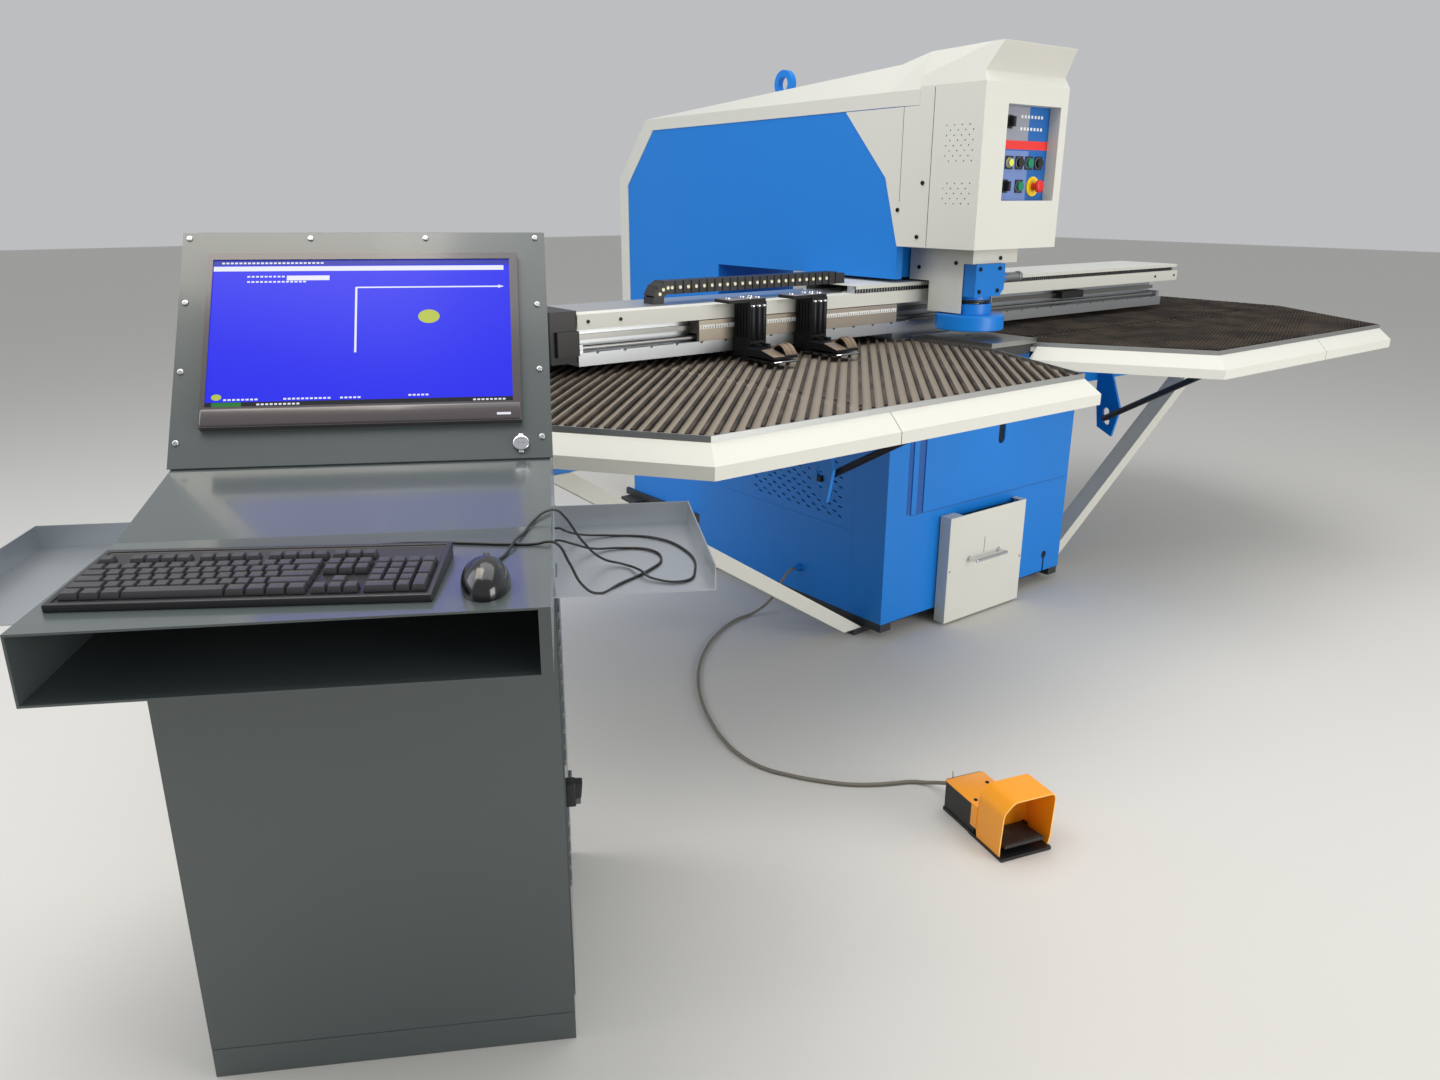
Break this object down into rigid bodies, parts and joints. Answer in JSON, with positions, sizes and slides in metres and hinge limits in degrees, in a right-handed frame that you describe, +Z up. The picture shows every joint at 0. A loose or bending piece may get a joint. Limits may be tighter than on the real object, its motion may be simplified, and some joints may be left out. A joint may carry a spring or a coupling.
{
  "type": "cnc turret punch press",
  "caption": "CNC punch press: C-frame head, brush tables, clamp beam with X and Y travel, scrap drawer, separate control console and foot pedal.",
  "frame": {"origin": "on the floor under the punch axis, at the underside of the front sole plate", "axes": "+X along the beam to the machine's right, +Y into the throat, +Z up"},
  "size_m": [5.0484, 3.155, 1.876],
  "materials": {
    "dark_steel": "satin paint",
    "blue_paint": "semi-gloss enamel",
    "cream_paint": "fine textured powder coat",
    "chrome": "polished",
    "control_face": "printed overlay film",
    "black_plastic": "moulded",
    "green_plastic": "moulded",
    "red_plastic": "moulded",
    "ground_steel": "ground",
    "brush": "bristle",
    "black_steel": "black oxide",
    "aluminium": "anodised",
    "console_paint": "semi-gloss enamel",
    "bright_sheet": "bright sheet",
    "yellow_paint": "enamel",
    "cord_black": "pvc sheath",
    "cord_grey": "pvc sheath"
  },
  "bodies": {
    "root": {"base_frame": "dark_steel", "c_frame": "blue_paint", "arm_cap": "cream_paint", "head_cover": "cream_paint", "lifting_eye": "blue_paint", "front_cover": "blue_paint", "side_cover_left": "blue_paint", "side_cover_right": "blue_paint", "power_unit": "dark_steel", "control_plate": "control_face", "nose_cover": "cream_paint", "ram_housing": "blue_paint", "ram_cylinder": "dark_steel", "die_holder": "dark_steel", "die_plate": "ground_steel", "table_left": "cream_paint", "table_right": "cream_paint", "brush_bed_left": "brush", "brush_bed_right": "brush", "table_arms": "blue_paint", "braces": "cream_paint", "tie_rods": "black_steel", "y_rails": "ground_steel", "console_cabinet": "console_paint", "console_desk": "console_paint", "console_panel": "console_paint", "monitor": "black_plastic", "console_trays": "bright_sheet", "keyboard": "black_plastic", "mouse": "black_plastic", "keyboard_cord": "cord_black", "mouse_cord": "cord_black", "pedal_base": "black_plastic", "pedal_hood": "yellow_paint", "pedal_cord": "cord_grey"},
    "drawer": {"scrap_drawer": "cream_paint", "drawer_handle": "chrome"},
    "selector_upper": {"selector_upper": "black_plastic"},
    "selector_lower": {"selector_lower": "black_plastic"},
    "button_black_left": {"button_black_left": "black_plastic"},
    "button_green_upper": {"button_green_upper": "green_plastic"},
    "button_black_right": {"button_black_right": "black_plastic"},
    "button_green_lower": {"button_green_lower": "green_plastic"},
    "e_stop": {"e_stop_button": "red_plastic"},
    "ram": {"ram_slide": "ground_steel"},
    "tool_station": {"tool_disc": "blue_paint"},
    "punch": {"punch": "ground_steel"},
    "die": {"die_disc": "ground_steel"},
    "beam": {"beam_body": "aluminium", "beam_covers": "cream_paint", "x_rail": "ground_steel", "beam_end_cap": "black_plastic", "energy_chain": "black_plastic"},
    "carriage": {"carriage_bar": "aluminium"},
    "clamp_left": {"clamp_left": "black_steel"},
    "clamp_right": {"clamp_right": "black_steel"},
    "jaw_left": {"jaw_left": "black_steel"},
    "jaw_right": {"jaw_right": "black_steel"},
    "console_door": {"console_door": "console_paint"},
    "treadle": {"pedal_treadle": "black_plastic"}
  },
  "joints": [
    {"name": "drawer_slide", "type": "slide", "parent": "root", "child": "drawer", "axis": [0, -1, 0], "range_m": [0, 0.4]},
    {"name": "selector_upper_turn", "type": "hinge", "parent": "root", "child": "selector_upper", "pos_m": [-0.038, -0.125, 1.64], "axis": [0, 1, 0], "range_deg": [-45, 45]},
    {"name": "selector_lower_turn", "type": "hinge", "parent": "root", "child": "selector_lower", "pos_m": [-0.038, -0.125, 1.449], "axis": [0, 1, 0], "range_deg": [-45, 45]},
    {"name": "button_black_left_press", "type": "slide", "parent": "root", "child": "button_black_left", "axis": [0, 1, 0], "range_m": [0, 0.004], "stiffness_N_per_m": 600, "springref_m": -0.002},
    {"name": "button_green_upper_press", "type": "slide", "parent": "root", "child": "button_green_upper", "axis": [0, 1, 0], "range_m": [0, 0.004], "stiffness_N_per_m": 600, "springref_m": -0.002},
    {"name": "button_black_right_press", "type": "slide", "parent": "root", "child": "button_black_right", "axis": [0, 1, 0], "range_m": [0, 0.004], "stiffness_N_per_m": 600, "springref_m": -0.002},
    {"name": "button_green_lower_press", "type": "slide", "parent": "root", "child": "button_green_lower", "axis": [0, 1, 0], "range_m": [0, 0.004], "stiffness_N_per_m": 600, "springref_m": -0.002},
    {"name": "e_stop_press", "type": "slide", "parent": "root", "child": "e_stop", "axis": [0, 1, 0], "range_m": [0, 0.006]},
    {"name": "ram_stroke", "type": "slide", "parent": "root", "child": "ram", "axis": [0, 0, -1], "range_m": [0, 0.014]},
    {"name": "tool_turn", "type": "hinge", "parent": "ram", "child": "tool_station", "pos_m": [0, 0, 1], "axis": [0, 0, 1], "continuous": true},
    {"name": "die_turn", "type": "hinge", "parent": "root", "child": "die", "pos_m": [0, 0, 0.95], "axis": [0, 0, 1], "continuous": true},
    {"name": "punch_stroke", "type": "slide", "parent": "tool_station", "child": "punch", "axis": [0, 0, -1], "range_m": [0, 0.008], "stiffness_N_per_m": 4000, "springref_m": -0.004},
    {"name": "beam_travel", "type": "slide", "parent": "root", "child": "beam", "axis": [0, 1, 0], "range_m": [0, 0.5]},
    {"name": "carriage_travel", "type": "slide", "parent": "beam", "child": "carriage", "axis": [1, 0, 0], "range_m": [-0.38, 0.38]},
    {"name": "clamp_left_shift", "type": "slide", "parent": "carriage", "child": "clamp_left", "axis": [1, 0, 0], "range_m": [-0.08, 0.05]},
    {"name": "clamp_right_shift", "type": "slide", "parent": "carriage", "child": "clamp_right", "axis": [1, 0, 0], "range_m": [-0.03, 0.05]},
    {"name": "jaw_left_grip", "type": "hinge", "parent": "clamp_left", "child": "jaw_left", "pos_m": [-0.8775, 0.055, 0.986], "axis": [1, 0, 0], "range_deg": [-12, 2]},
    {"name": "jaw_right_grip", "type": "hinge", "parent": "clamp_right", "child": "jaw_right", "pos_m": [-0.6295, 0.055, 0.986], "axis": [1, 0, 0], "range_deg": [-12, 2]},
    {"name": "console_door_swing", "type": "hinge", "parent": "root", "child": "console_door", "pos_m": [-1.92798, -0.55486, 0.455], "axis": [0, 0, 1], "range_deg": [0, 100]},
    {"name": "treadle_press", "type": "hinge", "parent": "root", "child": "treadle", "pos_m": [-1.09843, -1.08878, 0.02], "axis": [0.9622, -0.2723, 0], "range_deg": [0, 5], "stiffness_Nm_per_rad": 12, "springref_deg": -8.59}
  ],
  "couplings": [
    {"joint": "die_turn", "follows": "tool_turn", "ratio": 1}
  ]
}
